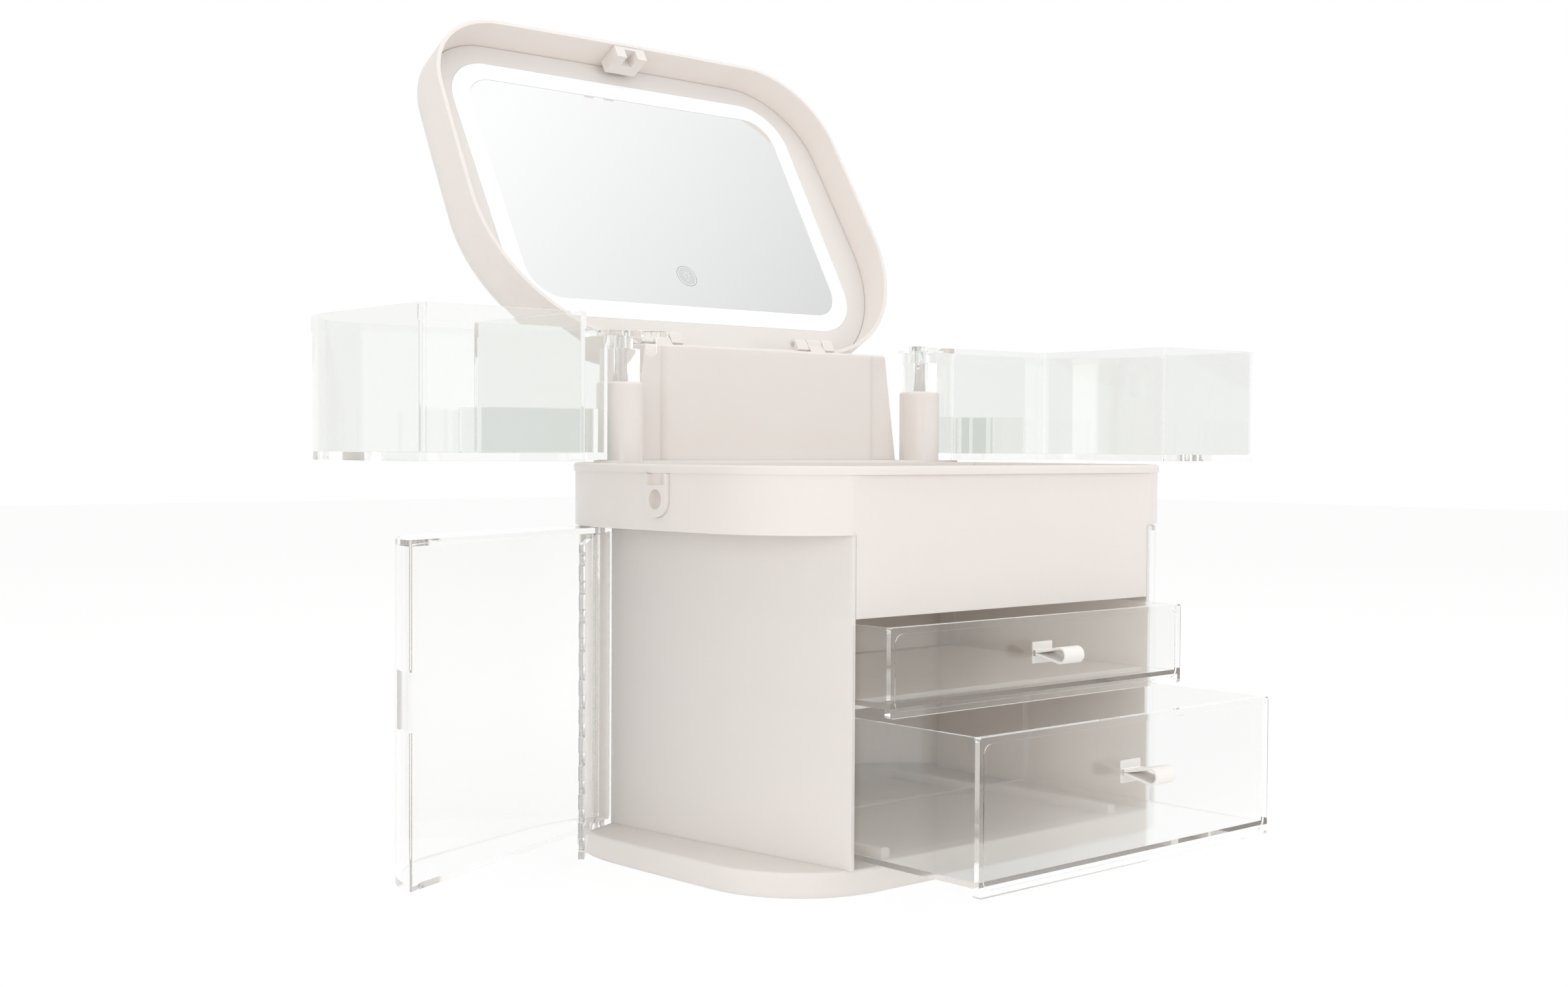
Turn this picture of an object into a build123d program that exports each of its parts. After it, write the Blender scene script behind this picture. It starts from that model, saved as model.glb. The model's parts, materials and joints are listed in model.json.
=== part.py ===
from build123d import *
import os
from math import asin, atan2, cos, hypot, sin, tan

# Cosmetics box with a mirror lid, two swing-out top trays, two drawers and two side doors.
# Millimetres, +Z up. The origin is under the middle of the base, and the front faces -Y.
# The lid, the left door and both trays stand open, and both drawers are pulled out a little.

# Plan of the box: sides that widen to the rear, all four edges slightly bowed
box_depth = 238.0
front_half = 157.0
rear_half = 165.0
front_corner = 60.0
rear_corner = 98.0
front_bow = 1.5
side_bow = 2.0
rear_bow = 2.0
half_depth = box_depth / 2

# Heights above the table
base_top = 12.5
bay_top = 136.0
band_bottom = 177.0
rim_top = 211.0
lip_height = 4.4
lip_proud = 0.8
tower_top = 279.0

# Walls and clearances
shell_wall = 2.2
band_wall = 3.0
clear_wall = 2.4
fit_gap = 0.3
pin_fit = 0.1
edge_round = 1.6

# Cabinet plan: flat front, flat side panels and a pocket at each side for the door
face_set_back = 3.0
crease_set_in = 40.0
panel_rear_set_in = 31.0
panel_rear_from_back = 92.0
jamb_set_in = 27.0
jamb_from_back = 53.0
face_y = face_set_back - half_depth
crease_half = front_half - crease_set_in
panel_rear_half = rear_half - panel_rear_set_in
panel_rear_y = half_depth - panel_rear_from_back
jamb_half = rear_half - jamb_set_in
jamb_y = half_depth - jamb_from_back

# Base plate and feet
base_inset = 1.6
base_wall = 3.0
base_rib = 2.0
rib_spacing = 60.0
rib_columns = 5
rib_rows = 3
foot_radius = 9.0
foot_set_in = 57.0
foot_from_edge = 35.0
foot_thick = 1.6
foot_x = front_half - foot_set_in
foot_y = half_depth - foot_from_edge

# Top bin and the deck over its rear
bin_wall = 2.5
bin_floor = 3.0
bin_from_back = 65.0
bin_rear_y = half_depth - bin_from_back
deck_thick = 3.0
deck_ledge = 3.0
deck_step = 1.2
deck_step_inset = 10.0
deck_step_from_back = 59.0
deck_step_y = half_depth - deck_step_from_back

# Tower that carries the lid
tower_set_in = 79.0
tower_from_back = 43.0
tower_wall = 3.0
tower_corner = 7.0
tower_slope_depth = 16.0
tower_rear_top = 271.0
tower_inset = 0.8
cheek_set_back = 3.0
cheek_top_width = 10.0
cheek_bottom_width = 20.0
tower_half = rear_half - tower_set_in
tower_front_y = half_depth - tower_from_back
tower_slope_y = half_depth - tower_slope_depth

# Lid, measured where it lies when it is closed
lid_angle = 119.6
hinge_from_back = 7.0
hinge_z = 285.5
lid_rim_z = 285.0
lid_depth = 34.0
lid_wall = 2.4
lid_round = 10.0
boss_radius = 4.0
boss_set_in = 45.0
boss_from_edge = 55.0
hinge_y = half_depth - hinge_from_back
boss_x = front_half - boss_set_in
boss_y = half_depth - boss_from_edge

# Mirror, light ring and what lies behind them, by depth behind the rim of the lid
mirror_depth = 22.0
mirror_set_in = 33.0
mirror_front_margin = 30.0
mirror_rear_margin = 46.0
mirror_front_corner = 20.0
mirror_rear_corner = 22.0
mirror_set_back = 0.4
mirror_thick = 2.0
ring_width = 12.5
ring_thick = 2.4
ring_gap = 0.2
ring_ledge = 1.5
surround_thick = 1.6
light_tray_wall = 3.0
light_tray_floor = 1.2
light_tray_depth = 5.3
led_strip_width = 6.0
led_strip_thick = 1.2
battery_size = (62.0, 36.0, 3.4)
board_size = (44.0, 26.0, 1.6)
board_x = 62.0
button_radius = 7.4
button_from_edge = 23.5
mirror_half_x = front_half - mirror_set_in
mirror_half_y = (box_depth - mirror_front_margin - mirror_rear_margin) / 2
mirror_centre_y = (mirror_front_margin - mirror_rear_margin) / 2
button_y = mirror_centre_y + mirror_half_y - button_from_edge

# Lid hinge: two lugs on the tower, each between two knuckles of the lid
lug_set_in = 24.0
hinge_x = tower_half - lug_set_in
lug_width = 12.0
knuckle_width = 9.0
knuckle_gap = 0.6
barrel_radius = 3.6
hinge_pin_radius = 1.5
notch_top = 9.0
notch_deep = 9.6

# Latch clip inside the lid's front wall
latch_width = 24.0
latch_height = 17.0
latch_thick = 9.0
latch_slot = 9.0

# Swing trays, measured where they lie when they are closed
tray_angle_left = 92.0
tray_angle_right = 86.0
pivot_set_in = 45.3
pivot_from_back = 48.2
pivot_x = rear_half - pivot_set_in
pivot_y = half_depth - pivot_from_back
tray_bottom = 212.6
tray_top = 284.1
tray_floor = 4.0
tray_inset = 0.6
tray_centre_gap = 0.8
tray_front_depth = 90.0
tray_step_gap = 0.7
tray_round = 4.0
tray_band = 8.0
tray_band_step = 0.7
post_radius = 12.8
post_top = 256.0
post_gap = 3.0
column_radius = 11.0
column_top = 274.5
arm_thick = 3.0
arm_half = 14.0
tail_width = 12.0
tail_length = 27.0
tail_angle_in = 45.0
tab_reach = 17.5
tab_width = 6.0
tab_thick = 2.0
tab_drop = 14.0
hub_radius = 7.0
pivot_pin_radius = 2.5
pivot_pin_depth = 18.0
cell_height = 24.0
cell_wall = 1.6
cell_count_x = 2
cell_count_y = 2
cell_spacing_x = 21.0
cell_spacing_y = 30.0
tray_step_half = pivot_x - arm_half - tray_step_gap

# Drawers
drawer_gap = 0.5
drawer_length = 172.0
drawer_wall = 2.2
drawer_floor = 2.4
drawer_raise = 4.6
plate_thick = 4.0
plate_rim = 3.2
plate_recess = 1.0
recess_corner = 5.0
lower_plate_bottom = 13.3
lower_plate_top = 87.4
upper_plate_bottom = 89.4
upper_plate_top = 133.3
lower_out = 82.0
upper_out = 24.0
shelf_thick = 2.6
runner_width = 6.0
runner_chamfer = 1.0
runner_set_in = 29.0
runner_x = crease_half - runner_set_in

# Strap pulls through the drawer fronts
strap_width = 15.0
strap_thick = 1.3
strap_reach = 19.0
strap_bulge = 4.4
strap_gap = 0.3
strap_tail = 5.6
upper_pull_z = 114.0
lower_pull_z = 59.7

# Side doors, measured where they lie when they are closed
door_angle_left = 74.0
door_pin_set_in = 17.0
door_pin_from_jamb = 9.0
door_x = rear_half - door_pin_set_in
door_y = jamb_y - door_pin_from_jamb
door_bottom = 13.2
door_top = 176.2
door_wall = 2.4
door_web = 3.0
door_inset = 0.6
door_front_gap = 1.4
door_panel_gap = 2.4
door_rear = 6.5
door_rear_round = 5.0
door_pin_radius = 1.5
grip_height = 28.0
grip_depth = 9.0
grip_z = 101.0

# Racks that swing out of the doors
rack_angle_left = 46.0
rack_length = 108.0
rack_thick = 3.0
rack_angle_closed = 7.5
rack_gap = 1.4
rack_hub = 3.6
rack_notches = 11
rack_notch_radius = 3.4
rack_notch_length = 13.6

# Carry-handle sockets, one in the band at each side
socket_from_middle = 19.0
socket_z = 193.0
socket_radius = 9.2
socket_hole = 5.2
socket_frame = 2.0
socket_proud = 1.8
socket_deep = 7.0

# Sizes that follow from the ones above
side_flare = atan2(rear_half - front_half, box_depth)
deck_bottom = rim_top - deck_thick
deck_top = rim_top + deck_step
nest_inset = shell_wall + fit_gap
drawer_half = crease_half - shell_wall - drawer_gap
tray_front_y = tray_inset - half_depth + tray_front_depth
tray_rear_y = pivot_y - post_radius - post_gap
os.makedirs("parts", exist_ok=True)


def side_x(y, inset):
    """Half width of the straight side line at y, drawn in by inset."""
    return front_half + (y + half_depth) * tan(side_flare) - inset / cos(side_flare)


def box_plan(inset):
    """Rounded plan of the box, drawn in by inset."""
    front_y = front_bow + inset - half_depth
    rear_y = half_depth - rear_bow - inset
    front_x = side_x(front_y, inset)
    rear_x = side_x(rear_y, inset)
    bow_x = (front_x + rear_x) / 2 + side_bow
    bow_y = (front_y + rear_y) / 2
    with BuildSketch() as plan:
        with BuildLine():
            ThreePointArc((-front_x, front_y), (0, front_y - front_bow), (front_x, front_y))
            ThreePointArc((front_x, front_y), (bow_x, bow_y), (rear_x, rear_y))
            ThreePointArc((rear_x, rear_y), (0, rear_y + rear_bow), (-rear_x, rear_y))
            ThreePointArc((-rear_x, rear_y), (-bow_x, bow_y), (-front_x, front_y))
        make_face()
        fillet(plan.vertices().group_by(Axis.Y)[0], front_corner - inset)
        fillet(plan.vertices().group_by(Axis.Y)[-1], rear_corner - inset)
    return plan.sketch


def edge_x(y):
    """Half width of the rounded box plan at y."""
    with BuildSketch() as strip:
        add(box_plan(0))
        with Locations((0, y)):
            Rectangle(2 * rear_half, pin_fit, mode=Mode.INTERSECT)
    return strip.sketch.bounding_box().max.X


def between_y(plan, low, high):
    """The part of a plan that lies between two y values."""
    with BuildSketch() as part_plan:
        add(plan)
        with Locations((0, low)):
            Rectangle(2 * box_depth, high - low, align=(Align.CENTER, Align.MIN), mode=Mode.INTERSECT)
    return part_plan.sketch


def cabinet_plan(inset):
    """Plan of the cabinet below the band: flat front, and a pocket for the door at each side."""
    rear_edge = jamb_y + inset
    with BuildSketch() as plan:
        add(between_y(box_plan(base_inset + inset), rear_edge, half_depth))
        with BuildLine():
            Polyline(
                (inset - crease_half, face_y),
                (crease_half - inset, face_y),
                (panel_rear_half - inset, panel_rear_y),
                (jamb_half - inset, rear_edge),
                (inset - jamb_half, rear_edge),
                (inset - panel_rear_half, panel_rear_y),
                close=True,
            )
        make_face()
    return plan.sketch


def turned(angle, x, y):
    """Plane that carries the closed plan, turned by angle about an upright axis at x, y."""
    pivot = Vector(x, y, 0)
    x_dir = Vector(1, 0, 0).rotate(Axis.Z, angle)
    return Plane(origin=pivot - pivot.rotate(Axis.Z, angle), x_dir=x_dir, z_dir=(0, 0, 1))


def lid_plane(depth):
    """Plane that carries the closed plan at a depth behind the rim of the open lid."""
    y_dir = Vector(0, 1, 0).rotate(Axis.X, -lid_angle)
    z_dir = Vector(0, 0, 1).rotate(Axis.X, -lid_angle)
    origin = Vector(0, hinge_y, hinge_z) - y_dir * hinge_y + z_dir * (lid_rim_z - hinge_z + depth)
    return Plane(origin=origin, x_dir=(1, 0, 0), z_dir=z_dir)


# Base plate: ribbed underneath, with a boss over each foot and a seat for each door pin
with BuildPart() as base_plate:
    with BuildSketch():
        add(box_plan(base_inset))
    extrude(amount=base_top)
    fillet(base_plate.faces().sort_by(Axis.Z)[-1].edges(), edge_round)
    with BuildSketch():
        add(box_plan(base_inset + base_wall))
    extrude(amount=base_top - base_wall, mode=Mode.SUBTRACT)
    with BuildSketch(Plane.XY.offset(foot_thick)):
        with GridLocations(rib_spacing, 1, rib_columns, 1):
            Rectangle(base_rib, box_depth)
        with GridLocations(1, rib_spacing, 1, rib_rows):
            Rectangle(2 * rear_half, base_rib)
        with GridLocations(2 * foot_x, 2 * foot_y, 2, 2):
            Circle(foot_radius + base_wall)
        add(box_plan(base_inset + base_wall), mode=Mode.INTERSECT)
    extrude(amount=base_top - base_wall - foot_thick)
    with BuildSketch(Plane.XY.offset(base_top - base_wall)):
        with Locations((-door_x, door_y), (door_x, door_y)):
            Circle(door_pin_radius + pin_fit)
    extrude(amount=base_wall, mode=Mode.SUBTRACT)
base_plate.part.label = "base_plate"
export_step(base_plate.part, "parts/base_plate.step")

# Rubber feet: four discs on the bosses of the base plate, level with its rim
with BuildPart() as rubber_feet:
    with BuildSketch():
        with GridLocations(2 * foot_x, 2 * foot_y, 2, 2):
            Circle(foot_radius)
    extrude(amount=foot_thick)
rubber_feet.part.label = "rubber_feet"
export_step(rubber_feet.part, "parts/rubber_feet.step")

# Cabinet shell: side panels, jambs and curved rear wall round the drawer bay, open at the front
with BuildPart() as cabinet_shell:
    with BuildSketch(Plane.XY.offset(base_top)):
        add(cabinet_plan(0))
        add(cabinet_plan(shell_wall), mode=Mode.SUBTRACT)
    extrude(amount=band_bottom - base_top)
cabinet_shell.part.label = "cabinet_shell"
export_step(cabinet_shell.part, "parts/cabinet_shell.step")

# Bay shelf: carries the upper drawer and meets the side panels all the way back
shelf_top = upper_plate_bottom + drawer_raise - fit_gap
shelf_front_y = face_y + plate_thick + fit_gap
with BuildPart() as bay_shelf:
    with BuildSketch(Plane.XY.offset(shelf_top - shelf_thick)):
        add(between_y(cabinet_plan(shell_wall), shelf_front_y, face_y + drawer_length))
    extrude(amount=shelf_thick)
bay_shelf.part.label = "bay_shelf"
export_step(bay_shelf.part, "parts/bay_shelf.step")

# Drawer runners: two low rails on the base under the lower drawer
runner_top = lower_plate_bottom + drawer_raise - fit_gap
with BuildPart() as drawer_runners:
    with BuildSketch(Plane.XY.offset(base_top)):
        with Locations((-runner_x, shelf_front_y), (runner_x, shelf_front_y)):
            Rectangle(runner_width, drawer_length, align=(Align.CENTER, Align.MIN))
    extrude(amount=runner_top - base_top)
    chamfer(drawer_runners.edges().group_by(Axis.Z)[-1], runner_chamfer)
drawer_runners.part.label = "drawer_runners"
export_step(drawer_runners.part, "parts/drawer_runners.step")


def socket_plan(grow):
    """Upright outline of a handle socket on Plane.YZ: round below, straight up to the lip."""
    with BuildSketch() as plan:
        with Locations((-socket_from_middle, socket_z)):
            Circle(socket_radius + grow)
            Rectangle(
                2 * (socket_radius + grow),
                rim_top - lip_height - fit_gap - socket_z + grow,
                align=(Align.CENTER, Align.MIN),
            )
    return plan.sketch


# Top bin: blank front panel, bowed band with its rim, and the bin's own floor and walls
socket_x = edge_x(-socket_from_middle)
with BuildPart() as top_bin:
    with BuildSketch(Plane.XY.offset(bay_top)):
        add(between_y(cabinet_plan(nest_inset), face_y, bin_rear_y + bin_wall))
    extrude(amount=band_bottom - bay_top)
    with BuildSketch(Plane.XY.offset(band_bottom)):
        add(between_y(box_plan(0), face_y, half_depth))
    extrude(amount=rim_top - band_bottom)
    with BuildSketch(Plane.XY.offset(rim_top - lip_height)):
        add(box_plan(-lip_proud))
    extrude(amount=lip_height)
    fillet(top_bin.faces().sort_by(Axis.Z)[-1].edges(), edge_round)
    with BuildSketch(Plane.XY.offset(bay_top + bin_floor)):
        add(between_y(cabinet_plan(nest_inset + bin_wall), face_y + bin_wall, bin_rear_y))
    extrude(amount=rim_top - bay_top, mode=Mode.SUBTRACT)
    with BuildSketch(Plane.XY.offset(band_bottom + bin_floor)):
        add(between_y(box_plan(band_wall), face_y + bin_wall, bin_rear_y))
        add(between_y(box_plan(band_wall + deck_ledge), bin_rear_y + bin_wall, half_depth))
    extrude(amount=rim_top - band_bottom, mode=Mode.SUBTRACT)
    with BuildSketch(Plane.XY.offset(deck_bottom)):
        add(between_y(box_plan(band_wall), bin_rear_y, half_depth))
    extrude(amount=deck_thick, mode=Mode.SUBTRACT)
    with BuildSketch(Plane.XY.offset(band_bottom)):
        with Locations((-door_x, door_y), (door_x, door_y)):
            Circle(door_pin_radius + pin_fit)
    extrude(amount=bin_floor, mode=Mode.SUBTRACT)
    for side in (-1, 1):
        with BuildSketch(Plane.YZ.offset(side * (socket_x - socket_deep))):
            add(socket_plan(pin_fit))
        extrude(amount=2 * side * socket_deep, mode=Mode.SUBTRACT)
top_bin.part.label = "top_bin"
export_step(top_bin.part, "parts/top_bin.step")

# Handle sockets: a round hole for the end of the carry handle under an open slot
slot_bottom = socket_z + socket_hole + socket_frame
for side, name in ((-1, "left"), (1, "right")):
    with BuildPart() as socket:
        with BuildSketch(Plane.YZ.offset(side * (socket_x - socket_deep))):
            add(socket_plan(0))
            with Locations((-socket_from_middle, socket_z)):
                Circle(socket_hole, mode=Mode.SUBTRACT)
            with Locations((-socket_from_middle, slot_bottom)):
                Rectangle(
                    2 * (socket_radius - socket_frame),
                    rim_top - slot_bottom,
                    align=(Align.CENTER, Align.MIN),
                    mode=Mode.SUBTRACT,
                )
        extrude(amount=side * (socket_deep + socket_proud))
    socket.part.label = name + "_handle_socket"
    export_step(socket.part, "parts/" + name + "_handle_socket.step")

# Rear deck: closes the band behind the bin, with a raised step and the two posts of the trays
with BuildPart() as rear_deck:
    with BuildSketch(Plane.XY.offset(deck_bottom)):
        add(between_y(box_plan(band_wall + fit_gap), bin_rear_y, half_depth))
    extrude(amount=deck_thick)
    with BuildSketch(Plane.XY.offset(rim_top)):
        add(between_y(box_plan(deck_step_inset), deck_step_y, half_depth))
    extrude(amount=deck_step)
    with BuildSketch(Plane.XY.offset(rim_top)):
        with Locations((-pivot_x, pivot_y), (pivot_x, pivot_y)):
            Circle(post_radius)
    extrude(amount=post_top - rim_top)
    fillet(rear_deck.faces().group_by(Axis.Z)[-1].edges(), edge_round)
    with BuildSketch(Plane.XY.offset(post_top)):
        with Locations((-pivot_x, pivot_y), (pivot_x, pivot_y)):
            Circle(column_radius)
    extrude(amount=column_top - post_top)
    with BuildSketch(Plane.XY.offset(column_top - pivot_pin_depth)):
        with Locations((-pivot_x, pivot_y), (pivot_x, pivot_y)):
            Circle(pivot_pin_radius + pin_fit)
    extrude(amount=pivot_pin_depth, mode=Mode.SUBTRACT)
rear_deck.part.label = "rear_deck"
export_step(rear_deck.part, "parts/rear_deck.step")


def cheek_block(inset):
    """Solid of the two tapering cheeks at the tower's sides, drawn in by inset."""
    top_half = tower_half + cheek_top_width - inset
    bottom_half = tower_half + cheek_bottom_width - inset
    with BuildPart() as block:
        with BuildSketch(Plane.XZ.offset(-(tower_front_y + cheek_set_back + inset))):
            with BuildLine():
                Polyline(
                    (-bottom_half, deck_top),
                    (bottom_half, deck_top),
                    (top_half, tower_top - inset),
                    (-top_half, tower_top - inset),
                    close=True,
                )
            make_face()
        extrude(amount=-half_depth)
        with BuildSketch(Plane.XY.offset(deck_top)):
            add(box_plan(tower_inset + inset))
        extrude(amount=tower_top - deck_top, mode=Mode.INTERSECT)
    return block.part


def tower_block(inset):
    """Solid of the tower drawn in by inset, with its cheeks and its sloping rear top."""
    with BuildPart() as block:
        with BuildSketch(Plane.XY.offset(deck_top)):
            add(between_y(box_plan(tower_inset + inset), tower_front_y + inset, half_depth))
            Rectangle(2 * (tower_half - inset), box_depth, mode=Mode.INTERSECT)
        extrude(amount=tower_top - inset - deck_top)
        front_edges = block.edges().filter_by(Axis.Z).group_by(Axis.Y)[0]
        fillet(front_edges, tower_corner - inset)
        add(cheek_block(inset))
        with BuildSketch(Plane.YZ):
            with BuildLine():
                Polyline(
                    (tower_slope_y, tower_top - inset),
                    (half_depth, tower_rear_top - inset),
                    (half_depth, tower_top),
                    (tower_slope_y, tower_top),
                    close=True,
                )
            make_face()
        extrude(amount=rear_half, both=True, mode=Mode.SUBTRACT)
    return block.part


def lug_profile():
    """Side outline of a hinge lug on Plane.YZ: a neck off the tower's top under a round barrel."""
    with BuildSketch() as profile:
        with BuildLine():
            Polyline(
                (tower_slope_y - edge_round, tower_top - tower_wall / 2),
                (hinge_y, tower_top - (hinge_y - tower_slope_y) * tower_slope - tower_wall / 2),
                (hinge_y + barrel_radius, hinge_z),
                (hinge_y - barrel_radius, hinge_z),
                close=True,
            )
        make_face()
        with Locations((hinge_y, hinge_z)):
            Circle(barrel_radius)
            Circle(hinge_pin_radius + pin_fit, mode=Mode.SUBTRACT)
    return profile.sketch


# Tower: hollow housing on the deck, with the two fixed lugs of the lid hinge on its sloping top
tower_slope = (tower_top - tower_rear_top) / (half_depth - tower_slope_y)
with BuildPart() as tower_shell:
    add(tower_block(0))
    fillet(tower_shell.faces().filter_by(Axis.Z).sort_by(Axis.Z)[-1].edges(), edge_round)
    add(tower_block(tower_wall), mode=Mode.SUBTRACT)
    for side in (-1, 1):
        with BuildSketch(Plane.YZ.offset(side * hinge_x)):
            add(lug_profile())
        extrude(amount=lug_width / 2, both=True)
tower_shell.part.label = "tower_shell"
export_step(tower_shell.part, "parts/tower_shell.step")

# Hinge pins: one through each lug and the two knuckles beside it
knuckle_start = lug_width / 2 + knuckle_gap
with BuildPart() as hinge_pins:
    for side in (-1, 1):
        with BuildSketch(Plane.YZ.offset(side * hinge_x)):
            with Locations((hinge_y, hinge_z)):
                Circle(hinge_pin_radius)
        extrude(amount=knuckle_start + knuckle_width, both=True)
hinge_pins.part.label = "hinge_pins"
export_step(hinge_pins.part, "parts/hinge_pins.step")


def mirror_plan(grow):
    """Closed plan of the mirror, grown all round."""
    with BuildSketch() as plan:
        with Locations((0, mirror_centre_y)):
            Rectangle(2 * (mirror_half_x + grow), 2 * (mirror_half_y + grow))
        fillet(plan.vertices().group_by(Axis.Y)[0], mirror_front_corner + grow)
        fillet(plan.vertices().group_by(Axis.Y)[-1], mirror_rear_corner + grow)
    return plan.sketch


def lid_block(inset):
    """Solid of the open lid drawn in by inset, with its rounded top edge."""
    with BuildPart() as block:
        with BuildSketch(lid_plane(0)):
            add(box_plan(inset))
        extrude(amount=lid_depth - inset)
        outward = Axis((0, 0, 0), lid_plane(0).z_dir)
        fillet(block.faces().sort_by(outward)[-1].edges(), lid_round - inset)
    return block.part


# Lid shell: a deep rounded cover with bosses inside, and the four knuckles of its hinge
light_back = mirror_depth + light_tray_depth
with BuildPart() as lid_shell:
    add(lid_block(0))
    add(lid_block(lid_wall), mode=Mode.SUBTRACT)
    with BuildSketch(lid_plane(light_back)):
        with GridLocations(2 * boss_x, 2 * boss_y, 2, 2):
            Circle(boss_radius)
    extrude(amount=lid_depth - lid_wall - light_back)
    notch_height = hinge_z + notch_top - lid_rim_z
    with BuildSketch(lid_plane(0)):
        with Locations((-hinge_x, half_depth), (hinge_x, half_depth)):
            Rectangle(2 * knuckle_start, notch_deep)
    extrude(amount=notch_height, mode=Mode.SUBTRACT)
    for side in (-1, 1):
        for end in (-1, 1):
            inner_x = side * hinge_x + end * knuckle_start
            knuckle_plane = lid_plane(hinge_z - lid_rim_z)
            with BuildSketch(Plane(knuckle_plane.from_local_coords((inner_x, 0, 0)),
                                   x_dir=knuckle_plane.y_dir, z_dir=(1, 0, 0))):
                with Locations((hinge_y, 0)):
                    Circle(barrel_radius)
                    Rectangle(
                        half_depth - hinge_y - lid_wall / 2,
                        2 * barrel_radius,
                        align=(Align.MIN, Align.CENTER),
                    )
                    Circle(hinge_pin_radius + pin_fit, mode=Mode.SUBTRACT)
            extrude(amount=end * knuckle_width)
lid_shell.part.label = "lid_shell"
export_step(lid_shell.part, "parts/lid_shell.step")

# Lid surround: the flat frame round the light ring
with BuildPart() as lid_surround:
    with BuildSketch(lid_plane(mirror_depth)):
        add(box_plan(lid_wall + fit_gap))
        add(mirror_plan(ring_width + ring_gap), mode=Mode.SUBTRACT)
    extrude(amount=surround_thick)
lid_surround.part.label = "lid_surround"
export_step(lid_surround.part, "parts/lid_surround.step")

# Light ring: white diffuser round the mirror
with BuildPart() as light_ring:
    with BuildSketch(lid_plane(mirror_depth)):
        add(mirror_plan(ring_width))
        add(mirror_plan(ring_gap), mode=Mode.SUBTRACT)
    extrude(amount=ring_thick)
light_ring.part.label = "light_ring"
export_step(light_ring.part, "parts/light_ring.step")

# Mirror glass, with the round hole of its touch button
with BuildPart() as mirror_glass:
    with BuildSketch(lid_plane(mirror_depth + mirror_set_back)):
        add(mirror_plan(0))
        with Locations((0, button_y)):
            Circle(button_radius + ring_gap, mode=Mode.SUBTRACT)
    extrude(amount=mirror_thick)
mirror_glass.part.label = "mirror_glass"
export_step(mirror_glass.part, "parts/mirror_glass.step")

# Touch button, level with the mirror's face
with BuildPart() as touch_button:
    with BuildSketch(lid_plane(mirror_depth + mirror_set_back)):
        with Locations((0, button_y)):
            Circle(button_radius)
    extrude(amount=mirror_thick)
touch_button.part.label = "touch_button"
export_step(touch_button.part, "parts/touch_button.step")

# Light tray: platform under the mirror, channel for the light strip and a rim round it
with BuildPart() as light_tray:
    with BuildSketch(lid_plane(mirror_depth + ring_thick)):
        add(mirror_plan(ring_ledge))
    extrude(amount=light_tray_depth - ring_thick)
    with BuildSketch(lid_plane(mirror_depth + surround_thick)):
        add(mirror_plan(ring_width + ring_gap + light_tray_wall))
        add(mirror_plan(ring_width + ring_gap), mode=Mode.SUBTRACT)
    extrude(amount=light_tray_depth - surround_thick)
    with BuildSketch(lid_plane(light_back - light_tray_floor)):
        add(mirror_plan(ring_width + ring_gap + light_tray_wall))
    extrude(amount=light_tray_floor)
light_tray.part.label = "light_tray"
export_step(light_tray.part, "parts/light_tray.step")

# Light strip in the channel, behind the middle of the ring
strip_inner = (ring_width + ring_ledge - led_strip_width) / 2
with BuildPart() as light_strip:
    with BuildSketch(lid_plane(light_back - light_tray_floor - led_strip_thick)):
        add(mirror_plan(strip_inner + led_strip_width))
        add(mirror_plan(strip_inner), mode=Mode.SUBTRACT)
    extrude(amount=led_strip_thick)
light_strip.part.label = "light_strip"
export_step(light_strip.part, "parts/light_strip.step")

# Battery and control board, side by side on the back of the light tray
with BuildPart() as battery:
    with BuildSketch(lid_plane(light_back)):
        RectangleRounded(battery_size[0], battery_size[1], edge_round)
    extrude(amount=battery_size[2])
battery.part.label = "battery"
export_step(battery.part, "parts/battery.step")

with BuildPart() as control_board:
    with BuildSketch(lid_plane(light_back)):
        with Locations((board_x, 0)):
            Rectangle(board_size[0], board_size[1])
    extrude(amount=board_size[2])
control_board.part.label = "control_board"
export_step(control_board.part, "parts/control_board.step")

# Latch clip inside the front wall of the lid: a block with a U-shaped slot open to the rim
latch_wall_y = lid_wall + pin_fit - half_depth
with BuildPart() as lid_latch:
    with BuildSketch(lid_plane(fit_gap)):
        with Locations((0, latch_wall_y)):
            Rectangle(latch_width, latch_thick, align=(Align.CENTER, Align.MIN))
    extrude(amount=latch_height)
    with BuildSketch(lid_plane(fit_gap)):
        with Locations((0, latch_wall_y + lid_wall)):
            Rectangle(latch_slot, latch_thick, align=(Align.CENTER, Align.MIN))
    extrude(amount=latch_height - (latch_width - latch_slot) / 2, mode=Mode.SUBTRACT)
lid_latch.part.label = "lid_latch"
export_step(lid_latch.part, "parts/lid_latch.step")


def tray_plan(side, inset):
    """Closed plan of one swing tray drawn in by inset: wide at the front, narrow beside the post."""
    inner_x = side * (tray_centre_gap + inset)
    step_x = side * (tray_step_half + inset)
    with BuildSketch() as plan:
        add(between_y(box_plan(tray_inset + inset), -half_depth, tray_rear_y - inset))
        with BuildLine():
            Polyline(
                (inner_x, -half_depth),
                (inner_x, tray_front_y - inset),
                (step_x, tray_front_y - inset),
                (step_x, half_depth),
                (side * rear_half, half_depth),
                (side * rear_half, -half_depth),
                close=True,
            )
        make_face(mode=Mode.INTERSECT)
        fillet(plan.vertices().group_by(Axis.X)[0 if side > 0 else -1], tray_round - inset)
        fillet(plan.vertices().group_by(Axis.Y)[-1], tray_round - inset)
        fillet(plan.vertices().sort_by_distance((step_x, tray_front_y - inset))[0], tray_round)
    return plan.sketch


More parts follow.
